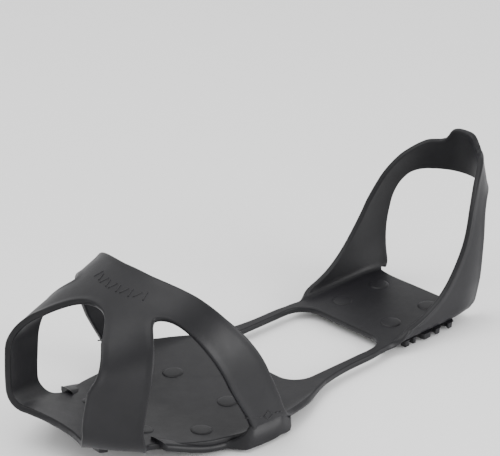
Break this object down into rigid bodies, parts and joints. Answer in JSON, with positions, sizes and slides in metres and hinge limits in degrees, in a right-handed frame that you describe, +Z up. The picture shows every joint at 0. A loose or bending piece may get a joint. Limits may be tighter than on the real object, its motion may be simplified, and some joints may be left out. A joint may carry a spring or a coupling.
{
  "type": "shoe ice cleats",
  "caption": "Stretchy rubber overshoe harness with a toe hood, side straps, a heel strap and lugged tread plates that carry metal studs for walking on ice.",
  "frame": {"origin": "on the ground, under the middle of the bounding box; the stud tips stand on z = 0", "axes": "-Y to the toe, +Y to the heel, +X to the wearer's left side, +Z up out of the shoe"},
  "size_m": [0.12, 0.2945, 0.09],
  "materials": {
    "rubber": "satin",
    "stud_steel": "satin",
    "carbide": "satin"
  },
  "bodies": {
    "forefoot": {"toe_hood": "rubber", "left_mid_strap": "rubber", "right_mid_strap": "rubber", "left_rear_strap": "rubber", "right_rear_strap": "rubber", "forefoot_plate": "rubber", "left_arch_strip_front": "rubber", "right_arch_strip_front": "rubber", "stud_jacket_01": "stud_steel", "stud_jacket_02": "stud_steel", "stud_jacket_03": "stud_steel", "stud_jacket_04": "stud_steel", "stud_jacket_05": "stud_steel", "stud_jacket_06": "stud_steel", "carbide_pin_01": "carbide", "carbide_pin_02": "carbide", "carbide_pin_03": "carbide", "carbide_pin_04": "carbide", "carbide_pin_05": "carbide", "carbide_pin_06": "carbide"},
    "heel": {"heel_plate": "rubber", "left_arch_strip_rear": "rubber", "right_arch_strip_rear": "rubber", "stud_jacket_07": "stud_steel", "stud_jacket_08": "stud_steel", "stud_jacket_09": "stud_steel", "stud_jacket_10": "stud_steel", "carbide_pin_07": "carbide", "carbide_pin_08": "carbide", "carbide_pin_09": "carbide", "carbide_pin_10": "carbide"},
    "heel_strap": {"left_heel_strap": "rubber", "right_heel_strap": "rubber", "heel_strap_back": "rubber"},
    "tab": {"pull_tab": "rubber"}
  },
  "joints": [
    {"name": "arch_flex", "type": "hinge", "parent": "forefoot", "child": "heel", "pos_m": [0, 0.014, 0.0075], "axis": [1, 0, 0], "range_deg": [-15, 90], "stiffness_Nm_per_rad": 0.05},
    {"name": "heel_strap_pull", "type": "hinge", "parent": "heel", "child": "heel_strap", "pos_m": [0, 0.116, 0.013], "axis": [-1, 0, 0], "range_deg": [0, 35], "stiffness_Nm_per_rad": 0.3},
    {"name": "pull_tab_flex", "type": "hinge", "parent": "heel_strap", "child": "tab", "pos_m": [0, 0.147, 0.082], "axis": [-1, 0, 0], "range_deg": [0, 60], "stiffness_Nm_per_rad": 0.02}
  ]
}
